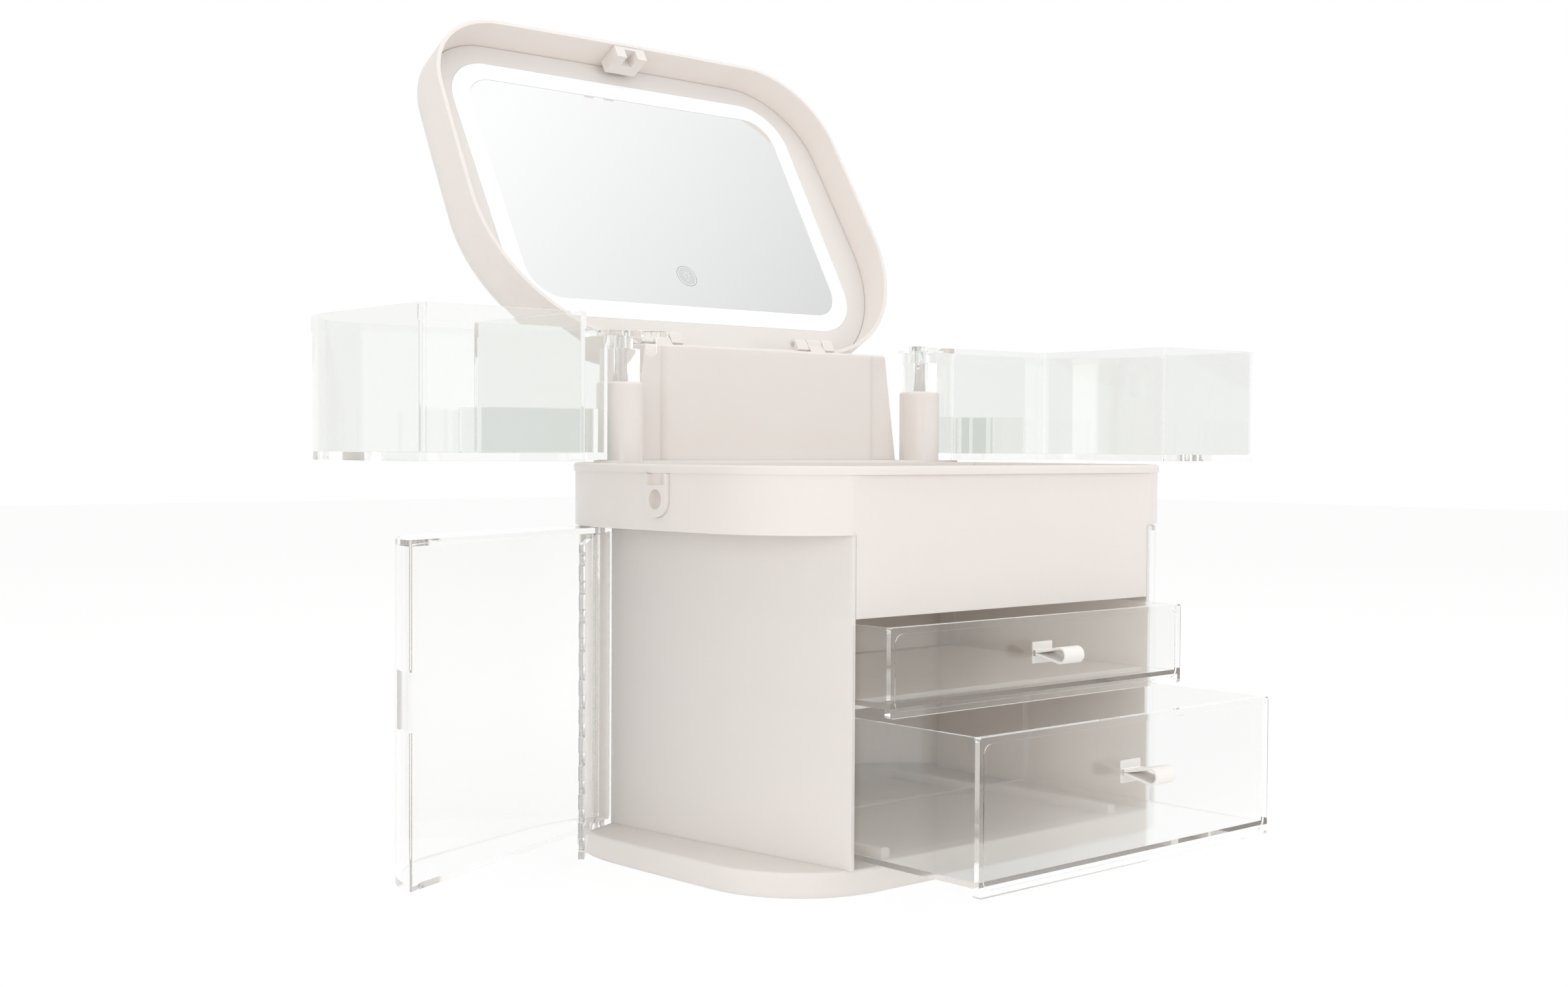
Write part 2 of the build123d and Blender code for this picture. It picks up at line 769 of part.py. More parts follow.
# Swing trays: clear bins with a raised band at the top and an arm that turns on the post
tray_inner = tray_band_step + clear_wall
for side, name, angle in ((-1, "left", -tray_angle_left), (1, "right", tray_angle_right)):
    plan = turned(angle, side * pivot_x, pivot_y)
    tail_angle = 90 + side * tail_angle_in
    with BuildPart() as tray:
        with BuildSketch(plan.offset(tray_bottom)):
            add(tray_plan(side, tray_band_step))
        extrude(amount=tray_top - tray_bottom)
        with BuildSketch(plan.offset(tray_top - tray_band)):
            add(tray_plan(side, 0))
        extrude(amount=tray_band)
        with BuildSketch(plan.offset(tray_bottom + tray_floor)):
            add(tray_plan(side, tray_inner))
        extrude(amount=tray_top - tray_bottom, mode=Mode.SUBTRACT)
        with BuildSketch(plan.offset(tray_top - arm_thick)):
            with Locations((side * pivot_x, pivot_y)):
                Circle(arm_half)
                Rectangle(
                    2 * arm_half,
                    pivot_y - tray_rear_y + tray_inner / 2,
                    align=(Align.CENTER, Align.MAX),
                )
                with PolarLocations(tail_length / 2 - tail_width / 4, 1, start_angle=tail_angle):
                    SlotOverall(tail_length + tail_width / 2, tail_width)
        extrude(amount=arm_thick)
        with BuildSketch(plan.offset(column_top + fit_gap)):
            with Locations((side * pivot_x, pivot_y)):
                Circle(hub_radius)
        extrude(amount=tray_top - arm_thick - column_top - fit_gap)
        with BuildSketch(plan.offset(column_top)):
            with Locations((side * pivot_x, pivot_y)):
                Circle(pivot_pin_radius + pin_fit)
        extrude(amount=tray_top - column_top, mode=Mode.SUBTRACT)
        pivot = plan.from_local_coords((side * pivot_x, pivot_y, 0))
        tail_dir = plan.x_dir.rotate(Axis.Z, tail_angle)
        with BuildSketch(Plane(origin=pivot, x_dir=tail_dir, z_dir=tail_dir.rotate(Axis.Z, -90))):
            with Locations((tab_reach, tray_top - tab_drop / 2)):
                SlotOverall(tab_drop, tab_width, rotation=90)
        extrude(amount=tab_thick / 2, both=True)
    tray.part.label = name + "_tray"
    export_step(tray.part, "parts/" + name + "_tray.step")

    # Frame of upright cells that stands in the narrow part of the tray
    cells_x = tray_step_half + tray_inner + fit_gap
    cells_y = tray_rear_y - tray_inner - fit_gap - tray_round
    with BuildPart() as cells:
        with BuildSketch(plan.offset(tray_bottom + tray_floor)):
            with Locations((side * (cells_x + (cell_count_x * cell_spacing_x + cell_wall) / 2),
                            cells_y - (cell_count_y * cell_spacing_y + cell_wall) / 2)):
                Rectangle(cell_count_x * cell_spacing_x + cell_wall, cell_count_y * cell_spacing_y + cell_wall)
                with GridLocations(cell_spacing_x, cell_spacing_y, cell_count_x, cell_count_y):
                    RectangleRounded(
                        cell_spacing_x - cell_wall,
                        cell_spacing_y - cell_wall,
                        cell_wall,
                        mode=Mode.SUBTRACT,
                    )
        extrude(amount=cell_height)
    cells.part.label = name + "_tray_cells"
    export_step(cells.part, "parts/" + name + "_tray_cells.step")

    # Upright pin through the arm's hub into the column
    with BuildPart() as tray_pin:
        with BuildSketch(Plane.XY.offset(column_top - pivot_pin_depth)):
            with Locations((side * pivot_x, pivot_y)):
                Circle(pivot_pin_radius)
        extrude(amount=pivot_pin_depth + tray_top - column_top)
    tray_pin.part.label = name + "_tray_pin"
    export_step(tray_pin.part, "parts/" + name + "_tray_pin.step")


def loop_outline(root, bulge, reach):
    """Side outline of a strap loop: straight plies tangent to a round front."""
    centre = reach - bulge
    lean = asin(bulge / hypot(centre, root)) - atan2(root, centre)
    touch = (centre - bulge * sin(lean), bulge * cos(lean))
    with BuildSketch() as outline:
        with BuildLine():
            Polyline((touch[0], -touch[1]), (0, -root), (0, root), touch)
            ThreePointArc(touch, (reach, 0), (touch[0], -touch[1]))
        make_face()
    return outline.sketch


# Drawers: a framed front plate with a slot for the strap, and an open box behind it
for name, low, high, out, pull_z in (
    ("upper", upper_plate_bottom, upper_plate_top, upper_out, upper_pull_z),
    ("lower", lower_plate_bottom, lower_plate_top, lower_out, lower_pull_z),
):
    front = Plane(origin=(0, face_y - out, 0), x_dir=(1, 0, 0), z_dir=(0, 0, 1))
    slot_width = strap_width + 2 * strap_gap
    with BuildPart() as drawer:
        with BuildSketch(front.offset(low)):
            Rectangle(2 * drawer_half, plate_thick, align=(Align.CENTER, Align.MIN))
        extrude(amount=high - low)
        fillet(drawer.edges().filter_by(Axis.Y), edge_round)
        with BuildSketch(front.offset(low + drawer_raise)):
            with Locations((0, plate_thick)):
                Rectangle(2 * drawer_half, drawer_length - plate_thick, align=(Align.CENTER, Align.MIN))
        extrude(amount=high - low - drawer_raise)
        fillet(drawer.edges().filter_by(Axis.Z).group_by(Axis.Y)[-1], edge_round)
        with BuildSketch(front.offset(low + drawer_raise + drawer_floor)):
            with Locations((0, plate_thick)):
                Rectangle(
                    2 * (drawer_half - drawer_wall),
                    drawer_length - plate_thick - drawer_wall,
                    align=(Align.CENTER, Align.MIN),
                )
        extrude(amount=high - low, mode=Mode.SUBTRACT)
        with BuildSketch(Plane(origin=(0, face_y - out, 0), x_dir=(1, 0, 0), z_dir=(0, -1, 0))):
            with Locations((0, (low + high) / 2)):
                RectangleRounded(
                    2 * (drawer_half - plate_rim),
                    high - low - 2 * plate_rim,
                    recess_corner,
                )
        extrude(amount=-plate_recess, mode=Mode.SUBTRACT)
        with BuildSketch(Plane(origin=(0, face_y - out, 0), x_dir=(1, 0, 0), z_dir=(0, -1, 0))):
            with Locations((0, pull_z)):
                Rectangle(slot_width, 2 * (strap_thick + strap_gap))
        extrude(amount=-plate_thick, mode=Mode.SUBTRACT)
    drawer.part.label = name + "_drawer"
    export_step(drawer.part, "parts/" + name + "_drawer.step")

    # Strap pull: one loop outside, both plies through the slot and turned flat behind the plate
    back = plate_thick + pin_fit
    with BuildPart() as pull:
        with BuildSketch(Plane(origin=(0, face_y - out, pull_z), x_dir=(0, -1, 0), z_dir=(-1, 0, 0))):
            add(loop_outline(strap_thick, strap_bulge, strap_reach))
            add(
                loop_outline(strap_gap / 2, strap_bulge - strap_thick, strap_reach - strap_thick),
                mode=Mode.SUBTRACT,
            )
            Rectangle(back, 2 * strap_thick, align=(Align.MAX, Align.CENTER))
            with Locations((-back, 0)):
                Rectangle(strap_thick, 2 * strap_tail, align=(Align.MAX, Align.CENTER))
        extrude(amount=strap_width / 2, both=True)
    pull.part.label = name + "_pull"
    export_step(pull.part, "parts/" + name + "_pull.step")


def door_plan(side, inset):
    """Closed plan of one side door, its outer edge drawn in by inset and open towards the cabinet."""
    grow = door_panel_gap if inset == 0 else 0
    low = face_y + door_front_gap + inset
    high = door_y + door_rear - inset
    with BuildSketch() as plan:
        add(between_y(box_plan(door_inset + inset), low, high))
        with BuildLine():
            Polyline(
                (side * (crease_half + grow), -half_depth),
                (side * (crease_half + grow), face_y),
                (side * (panel_rear_half + grow), panel_rear_y),
                (side * (jamb_half + grow), jamb_y),
                (side * rear_half, jamb_y),
                (side * rear_half, -half_depth),
                close=True,
            )
        make_face(mode=Mode.INTERSECT)
    return plan.sketch


# Side doors: clear shells along the box's edge, open towards the cabinet, with a finger notch
for side, name, angle in ((-1, "left", -door_angle_left), (1, "right", 0)):
    plan = turned(angle, side * door_x, door_y)
    with BuildPart() as door:
        with BuildSketch(plan.offset(door_bottom)):
            add(door_plan(side, 0))
        extrude(amount=door_top - door_bottom)
        rear_corner_edge = door.edges().filter_by(Axis.Z).sort_by_distance(
            plan.from_local_coords((side * rear_half, half_depth, (door_bottom + door_top) / 2)))[0]
        fillet(rear_corner_edge, door_rear_round)
        with BuildSketch(plan.offset(door_bottom + door_web)):
            add(door_plan(side, door_wall))
        extrude(amount=door_top - door_bottom - 2 * door_web, mode=Mode.SUBTRACT)
        with BuildSketch(plan.offset(grip_z - grip_height / 2)):
            with Locations((side * crease_half, face_y)):
                Rectangle(
                    2 * front_corner,
                    grip_depth,
                    align=(Align.MIN if side > 0 else Align.MAX, Align.MIN),
                )
        extrude(amount=grip_height, mode=Mode.SUBTRACT)
        with BuildSketch(plan.offset(door_bottom)):
            with Locations((side * door_x, door_y)):
                Circle(door_pin_radius + pin_fit)
        extrude(amount=door_top - door_bottom, mode=Mode.SUBTRACT)
    door.part.label = name + "_door"
    export_step(door.part, "parts/" + name + "_door.step")

    # Long upright pin from the base to the band: the door and its rack both turn on it
    with BuildPart() as door_pin:
        with BuildSketch(Plane.XY.offset(base_top - base_wall)):
            with Locations((side * door_x, door_y)):
                Circle(door_pin_radius)
        extrude(amount=band_bottom + bin_floor - base_top + base_wall)
    door_pin.part.label = name + "_door_pin"
    export_step(door_pin.part, "parts/" + name + "_door_pin.step")

# Racks: a clear leaf on the door's pin, with a row of notches down its free edge
rack_bottom = door_bottom + door_web + rack_gap
rack_top = door_top - door_web - rack_gap
for side, name, angle in ((-1, "left", -rack_angle_left), (1, "right", 0)):
    leaf = Plane(
        origin=(side * door_x, door_y, 0),
        x_dir=Vector(0, -1, 0).rotate(Axis.Z, angle - side * rack_angle_closed),
        z_dir=(0, 0, 1),
    )
    with BuildPart() as rack:
        with BuildSketch(leaf.offset(rack_bottom)):
            Rectangle(rack_length, rack_thick, align=(Align.MIN, Align.CENTER))
            Circle(rack_hub)
            Circle(door_pin_radius + pin_fit, mode=Mode.SUBTRACT)
        extrude(amount=rack_top - rack_bottom)
        with BuildSketch(Plane(origin=leaf.origin, x_dir=leaf.x_dir, z_dir=leaf.y_dir)):
            notch_pitch = (rack_top - rack_bottom) / rack_notches
            with Locations((rack_length, -(rack_top + rack_bottom) / 2)):
                with GridLocations(1, notch_pitch, 1, rack_notches):
                    SlotOverall(rack_notch_length, 2 * rack_notch_radius)
        extrude(amount=rack_thick, both=True, mode=Mode.SUBTRACT)
    rack.part.label = name + "_rack"
    export_step(rack.part, "parts/" + name + "_rack.step")
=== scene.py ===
"""Looks of the cosmetics box: moulded shell, clear acrylic trays and drawers, lighted mirror."""

import json
from math import asin, atan2, cos, hypot, pi, radians, sin

import bmesh
import bpy
from mathutils import Matrix, Vector


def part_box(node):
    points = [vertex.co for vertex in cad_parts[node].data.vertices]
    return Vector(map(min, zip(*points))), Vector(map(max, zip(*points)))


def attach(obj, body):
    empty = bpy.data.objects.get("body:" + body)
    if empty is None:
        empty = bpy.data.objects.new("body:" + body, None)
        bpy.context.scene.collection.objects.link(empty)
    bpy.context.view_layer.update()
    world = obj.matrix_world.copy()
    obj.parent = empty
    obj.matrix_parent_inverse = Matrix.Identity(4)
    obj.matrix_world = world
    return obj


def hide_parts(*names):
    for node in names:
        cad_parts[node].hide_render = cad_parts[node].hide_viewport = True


MM = 0.001
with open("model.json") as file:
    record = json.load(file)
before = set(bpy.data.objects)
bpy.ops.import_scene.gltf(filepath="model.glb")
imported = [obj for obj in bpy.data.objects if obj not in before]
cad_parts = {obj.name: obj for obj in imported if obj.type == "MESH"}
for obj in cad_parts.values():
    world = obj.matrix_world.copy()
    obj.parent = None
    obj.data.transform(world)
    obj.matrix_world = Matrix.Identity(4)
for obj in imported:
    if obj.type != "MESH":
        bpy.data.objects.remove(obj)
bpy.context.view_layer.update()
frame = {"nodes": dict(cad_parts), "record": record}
scene = bpy.context.scene


# ---------------------------------------------------------------- shared effects
def effect_group(name, inputs, outputs):
    """An empty node group with named sockets and its two end nodes."""
    group = bpy.data.node_groups.new(name, "ShaderNodeTree")
    for label, kind, default in inputs:
        socket = group.interface.new_socket(name=label, in_out="INPUT", socket_type=kind)
        socket.default_value = default
    for label, kind in outputs:
        group.interface.new_socket(name=label, in_out="OUTPUT", socket_type=kind)
    return group, group.nodes.new("NodeGroupInput"), group.nodes.new("NodeGroupOutput")


def noise(group, scale, detail, roughness=0.5):
    """A noise pattern on the object's own coordinates; its scale is a number or a socket."""
    nodes, links = group.nodes, group.links
    place = nodes.new("ShaderNodeTexCoord")
    pattern = nodes.new("ShaderNodeTexNoise")
    if isinstance(scale, bpy.types.NodeSocket):
        links.new(scale, pattern.inputs["Scale"])
    else:
        pattern.inputs["Scale"].default_value = scale
    pattern.inputs["Detail"].default_value = detail
    pattern.inputs["Roughness"].default_value = roughness
    links.new(place.outputs["Object"], pattern.inputs["Vector"])
    return pattern.outputs["Fac"]


def build_mottle():
    """Colour that drifts softly over a large piece, with faint specks."""
    cloud_scale, speck_scale, speck_share = 9.0, 900.0, 0.35
    least, most = 0.45, 0.9
    group, start, end = effect_group(
        "soft_mottle",
        [("Colour", "NodeSocketColor", (1, 1, 1, 1)), ("Shade", "NodeSocketColor", (1, 1, 1, 1)),
         ("Amount", "NodeSocketFloat", 0.3)],
        [("Colour", "NodeSocketColor")])
    links = group.links
    both = group.nodes.new("ShaderNodeMath")
    both.operation = "MULTIPLY_ADD"
    both.inputs[1].default_value = speck_share
    links.new(noise(group, speck_scale, 2.0), both.inputs[0])
    links.new(noise(group, cloud_scale, 3.0), both.inputs[2])
    spread = group.nodes.new("ShaderNodeMapRange")
    spread.inputs["From Min"].default_value = least
    spread.inputs["From Max"].default_value = most
    links.new(both.outputs[0], spread.inputs["Value"])
    share = group.nodes.new("ShaderNodeMath")
    share.operation = "MULTIPLY"
    links.new(spread.outputs["Result"], share.inputs[0])
    links.new(start.outputs["Amount"], share.inputs[1])
    mix = group.nodes.new("ShaderNodeMix")
    mix.data_type = "RGBA"
    links.new(share.outputs[0], mix.inputs["Factor"])
    links.new(start.outputs["Colour"], mix.inputs[6])
    links.new(start.outputs["Shade"], mix.inputs[7])
    links.new(mix.outputs[2], end.inputs["Colour"])
    return group


def build_gloss():
    """Roughness that varies where hands and cloths have polished the surface."""
    least, most = 0.3, 0.7
    group, start, end = effect_group(
        "handled_gloss",
        [("Low", "NodeSocketFloat", 0.3), ("High", "NodeSocketFloat", 0.4),
         ("Scale", "NodeSocketFloat", 14.0)],
        [("Roughness", "NodeSocketFloat")])
    links = group.links
    spread = group.nodes.new("ShaderNodeMapRange")
    spread.inputs["From Min"].default_value = least
    spread.inputs["From Max"].default_value = most
    links.new(noise(group, start.outputs["Scale"], 5.0, 0.6), spread.inputs["Value"])
    links.new(start.outputs["Low"], spread.inputs["To Min"])
    links.new(start.outputs["High"], spread.inputs["To Max"])
    links.new(spread.outputs["Result"], end.inputs["Roughness"])
    return group


def build_grain():
    """Height of a fine moulded or leathery skin."""
    group, start, end = effect_group(
        "skin_grain",
        [("Fine", "NodeSocketFloat", 1500.0), ("Coarse", "NodeSocketFloat", 60.0),
         ("Coarse Share", "NodeSocketFloat", 0.3)],
        [("Height", "NodeSocketFloat")])
    links = group.links
    mix = group.nodes.new("ShaderNodeMix")
    links.new(start.outputs["Coarse Share"], mix.inputs["Factor"])
    links.new(noise(group, start.outputs["Fine"], 2.0), mix.inputs[2])
    links.new(noise(group, start.outputs["Coarse"], 2.0), mix.inputs[3])
    links.new(mix.outputs[0], end.inputs["Height"])
    return group


MOTTLE, GLOSS, GRAIN = build_mottle(), build_gloss(), build_grain()
RELIEF_DEPTH = 0.1 * MM


# ---------------------------------------------------------------- materials
def use_group(mat, group, **values):
    """Places an effect in a material with its own values."""
    node = mat.node_tree.nodes.new("ShaderNodeGroup")
    node.node_tree = group
    for label, value in values.items():
        node.inputs[label.replace("_", " ")].default_value = value
    return node


def finish(name, colour, shade, amount, gloss, skin=None, **sockets):
    """A material whose colour, gloss and skin vary over the piece.

    gloss is the lowest and highest roughness and the scale of its smears; skin is the strength of
    the relief, its fine and coarse scales and the coarse share. Plain values go on the shader.
    """
    mat = bpy.data.materials.new(name)
    mat.use_nodes = True
    nodes, links = mat.node_tree.nodes, mat.node_tree.links
    shader = nodes["Principled BSDF"]
    mottle = use_group(mat, MOTTLE, Colour=(*colour, 1), Shade=(*shade, 1), Amount=amount)
    links.new(mottle.outputs["Colour"], shader.inputs["Base Color"])
    low, high, smear = gloss
    polish = use_group(mat, GLOSS, Low=low, High=high, Scale=smear)
    links.new(polish.outputs["Roughness"], shader.inputs["Roughness"])
    if skin:
        strength, fine, coarse, share = skin
        grain = use_group(mat, GRAIN, Fine=fine, Coarse=coarse, Coarse_Share=share)
        relief = nodes.new("ShaderNodeBump")
        relief.inputs["Strength"].default_value = strength
        relief.inputs["Distance"].default_value = RELIEF_DEPTH
        links.new(grain.outputs["Height"], relief.inputs["Height"])
        links.new(relief.outputs["Normal"], shader.inputs["Normal"])
    for label, value in sockets.items():
        shader.inputs[label.replace("_", " ")].default_value = value
    return mat


# The second colour is painted shade: a pale grey glow on clear plastic where a ray has passed many
# walls
PASS_COLOUR, PAINTED_EDGE_GREY = (0.99, 0.993, 0.991, 1), (0.77, 0.78, 0.775, 1)
BENDS_MOST, LAYERS_MOST = 4.5, 5.5


def clear_acrylic(name, tint, shade):
    """Polished clear plastic. Shadow rays and rays trapped between many walls pass straight on, and
    a ray that has passed too many walls ends in a glowing pale grey, a painted shade that stands in
    for the grey edges of the plastic."""
    mat = finish(name, tint, shade, 0.5, (0.015, 0.05, 20.0), (0.05, 700.0, 18.0, 0.85),
                 IOR=1.49, Transmission_Weight=1.0)
    nodes, links = mat.node_tree.nodes, mat.node_tree.links
    path = nodes.new("ShaderNodeLightPath")

    def more_than(count, limit):
        test = nodes.new("ShaderNodeMath")
        test.operation = "GREATER_THAN"
        test.inputs[1].default_value = limit
        links.new(path.outputs[count], test.inputs[0])
        return test.outputs[0]

    def mixed(factor, first, second):
        mix = nodes.new("ShaderNodeMixShader")
        links.new(factor, mix.inputs["Fac"])
        links.new(first, mix.inputs[1])
        links.new(second, mix.inputs[2])
        return mix.outputs[0]

    through = nodes.new("ShaderNodeBsdfTransparent")
    through.inputs["Color"].default_value = PASS_COLOUR
    either = nodes.new("ShaderNodeMath")
    either.operation = "MAXIMUM"
    links.new(path.outputs["Is Shadow Ray"], either.inputs[0])
    links.new(more_than("Ray Depth", BENDS_MOST), either.inputs[1])
    # Painted shade: a grey glow, no lamp, that gives the clear plastic its grey edges
    painted_edge_glow = nodes.new("ShaderNodeEmission")
    painted_edge_glow.inputs["Color"].default_value = PAINTED_EDGE_GREY
    clear = mixed(either.outputs[0], nodes["Principled BSDF"].outputs[0], through.outputs[0])
    last = mixed(more_than("Transparent Depth", LAYERS_MOST), clear, painted_edge_glow.outputs[0])
    links.new(last, nodes["Material Output"].inputs["Surface"])
    return mat


shell = finish("satin_shell", (0.815, 0.77, 0.738), (0.785, 0.738, 0.705), 0.5,
               (0.34, 0.44, 16.0), (0.12, 1400.0, 90.0, 0.25), Specular_IOR_Level=0.45,
               Subsurface_Weight=0.3, Subsurface_Scale=4 * MM, Subsurface_Radius=(1.0, 0.85, 0.75))
acrylic = clear_acrylic("clear_acrylic", (0.989, 0.995, 0.991), (0.979, 0.986, 0.982))
acrylic_tray = clear_acrylic("clear_tray_acrylic", (0.928, 0.935, 0.922), (0.9, 0.907, 0.89))
mirror = finish("silvered_glass", (0.985, 0.988, 0.99), (0.972, 0.976, 0.98), 0.4,
                (0.004, 0.02, 12.0), Metallic=1.0)
opal = finish("opal_diffuser", (0.9, 0.91, 0.925), (0.87, 0.885, 0.905), 0.4,
              (0.4, 0.5, 30.0), (0.06, 1600.0, 80.0, 0.2),
              Emission_Color=(0.97, 0.985, 1.0, 1), Emission_Strength=0.12)
button_face = finish("frosted_button", (0.80, 0.81, 0.82), (0.76, 0.77, 0.79), 0.4,
                     (0.1, 0.2, 40.0), (0.05, 1600.0, 80.0, 0.2), Metallic=0.85)
leather = finish("cream_leatherette", (0.93, 0.905, 0.875), (0.86, 0.81, 0.775), 0.6,
                 (0.45, 0.6, 60.0), (0.5, 2200.0, 420.0, 0.55),
                 Sheen_Weight=0.2, Sheen_Roughness=0.5)
steel = finish("pin_steel", (0.62, 0.62, 0.63), (0.54, 0.54, 0.55), 0.5,
               (0.22, 0.36, 120.0), (0.2, 2500.0, 300.0, 0.3), Metallic=1.0)
rubber = finish("foot_rubber", (0.72, 0.68, 0.65), (0.62, 0.58, 0.56), 0.5,
                (0.7, 0.85, 40.0), (0.5, 1800.0, 200.0, 0.4))
strip_film = finish("strip_film", (0.93, 0.92, 0.86), (0.86, 0.84, 0.74), 0.6,
                    (0.4, 0.55, 60.0), (0.2, 1800.0, 160.0, 0.4))
battery_wrap = finish("battery_wrap", (0.52, 0.54, 0.58), (0.44, 0.46, 0.5), 0.5,
                      (0.25, 0.4, 60.0), (0.2, 900.0, 120.0, 0.6))
green_board = finish("green_board", (0.08, 0.26, 0.16), (0.05, 0.2, 0.12), 0.6,
                     (0.3, 0.45, 90.0), (0.3, 1500.0, 300.0, 0.5))
icon_white = finish("icon_white", (0.97, 0.97, 0.97), (0.93, 0.93, 0.94), 0.4,
                    (0.4, 0.5, 60.0), (0.1, 2000.0, 200.0, 0.3))

BY_SLOT = {"shell": shell, "clear": acrylic, "mirror": mirror, "light": opal, "strap": leather,
           "steel": steel, "rubber": rubber, "light_strip": strip_film, "battery": battery_wrap,
           "board": green_board}
BY_NODE = {"touch_button": button_face, "left_tray": acrylic_tray, "left_tray_cells": acrylic_tray,
           "right_tray": acrylic_tray, "right_tray_cells": acrylic_tray}
for subpart in frame["record"]["subparts"]:
    node = subpart["node"]
    for place in frame["nodes"][node].material_slots:
        place.material = BY_NODE.get(node, BY_SLOT[subpart["material_slot"]])


# ---------------------------------------------------------------- new pieces
def piece(name, bm, body, material):
    """Turns a finished bmesh into a piece that rides on a body."""
    bmesh.ops.remove_doubles(bm, verts=bm.verts, dist=0.01 * MM)
    bmesh.ops.recalc_face_normals(bm, faces=bm.faces)
    for face in bm.faces:
        face.smooth = True
    mesh = bpy.data.meshes.new(name)
    bm.to_mesh(mesh)
    bm.free()
    obj = bpy.data.objects.new(name, mesh)
    scene.collection.objects.link(obj)
    obj.data.materials.append(material)
    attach(obj, body)
    return obj


def edges_of(geom):
    return [g for g in geom if isinstance(g, bmesh.types.BMEdge)]


STRAP_WIDTH, STRAP_THICK = 15.0 * MM, 1.3 * MM
LOOP_REACH, LOOP_BULGE = 19.0 * MM, 4.4 * MM
TAIL_HALF, PLATE_BACK, CURL = 5.6 * MM, 4.1 * MM, 0.9 * MM
SLOT_PLAY, CUT_EDGE, CUT_EDGE_ANGLE = 0.1 * MM, 0.3 * MM, radians(50)


def strap_pull(name, node, body):
    """A folded strap: a loop in front of the plate, both ends through its slot and turned flat."""
    low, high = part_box(node)
    front_y = low[1] + LOOP_REACH
    middle = Vector((0, front_y, (low[2] + high[2]) / 2))
    root = STRAP_THICK / 2 + SLOT_PLAY
    radius = LOOP_BULGE - STRAP_THICK / 2
    centre = LOOP_REACH - LOOP_BULGE
    lean = asin(radius / hypot(centre, root)) - atan2(root, centre)
    touch_out, touch_up = centre - radius * sin(lean), radius * cos(lean)
    back = PLATE_BACK + STRAP_THICK / 2
    rise = TAIL_HALF - root - CURL

    def at(out, up):
        """A point so far in front of the plate and above the slot's middle."""
        return middle + Vector((0, -out, up))

    bm = bmesh.new()
    tail = [bm.verts.new(at(-back, -TAIL_HALF) + Vector((side * STRAP_WIDTH / 2, 0, 0)))
            for side in (-1, 1)]
    bmesh.ops.subdivide_edges(bm, edges=[bm.edges.new(tail)], cuts=9)

    def draw(row, out, up, steps):
        """Draws the strap on by a straight run."""
        for _ in range(steps):
            grown = bmesh.ops.extrude_edge_only(bm, edges=row)["geom"]
            moved = [g for g in grown if isinstance(g, bmesh.types.BMVert)]
            bmesh.ops.translate(bm, verts=moved, vec=(0, -out / steps, up / steps))
            row = edges_of(grown)
        return row

    def turn(row, out, up, angle, steps):
        """Draws the strap on round a bend."""
        corners = list(dict.fromkeys(corner for edge in row for corner in edge.verts))
        grown = bmesh.ops.spin(bm, geom=row + corners, cent=at(out, up), axis=(1, 0, 0),
                               dvec=(0, 0, 0), angle=angle, steps=steps)["geom_last"]
        return edges_of(grown)

    row = draw(list(bm.edges), 0, rise, 3)
    row = turn(row, CURL - back, -root - CURL, pi / 2, 4)
    row = draw(row, back - CURL, 0, 2)
    row = draw(row, touch_out, root - touch_up, 6)
    row = turn(row, centre, 0, -(pi + 2 * lean), 20)
    row = draw(row, -touch_out, root - touch_up, 6)
    row = draw(row, CURL - back, 0, 2)
    row = turn(row, CURL - back, root + CURL, pi / 2, 4)
    draw(row, 0, rise, 3)
    pull = piece(name, bm, body, leather)
    ply = pull.modifiers.new("ply", "SOLIDIFY")
    ply.thickness = STRAP_THICK
    ply.offset = 0
    soft = pull.modifiers.new("cut_edge", "BEVEL")
    soft.width = CUT_EDGE
    soft.segments = 2
    soft.limit_method = "ANGLE"
    soft.angle_limit = CUT_EDGE_ANGLE
    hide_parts(node)


strap_pull("upper_strap", "upper_pull", "upper_drawer_unit")
strap_pull("lower_strap", "lower_pull", "lower_drawer_unit")


def stand_in(name, node, material, cut=None, keep_low=True):
    """A solid in another finish: the whole of it, or its part below or above a height."""
    bm = bmesh.new()
    bm.from_mesh(frame["nodes"][node].data)
    bmesh.ops.remove_doubles(bm, verts=bm.verts, dist=0.001 * MM)
    if cut is not None:
        geom = list(bm.verts) + list(bm.edges) + list(bm.faces)
        rim = edges_of(bmesh.ops.bisect_plane(
            bm, geom=geom, plane_co=(0, 0, cut), plane_no=(0, 0, 1),
            clear_outer=keep_low, clear_inner=not keep_low)["geom_cut"])
        bmesh.ops.holes_fill(bm, edges=[edge for edge in rim if edge.is_boundary], sides=0)
    made = piece(name, bm, "box", material)
    made.data.set_sharp_from_angle(angle=radians(30))
    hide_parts(node)


# The posts carry clear columns with clear pins: the deck ends at the posts' tops
POST_TOP = 256.02 * MM
stand_in("deck_and_posts", "rear_deck", shell, POST_TOP, keep_low=True)
stand_in("clear_columns", "rear_deck", acrylic, POST_TOP, keep_low=False)
for side in ("left", "right"):
    stand_in(side + "_clear_pin", side + "_tray_pin", acrylic)


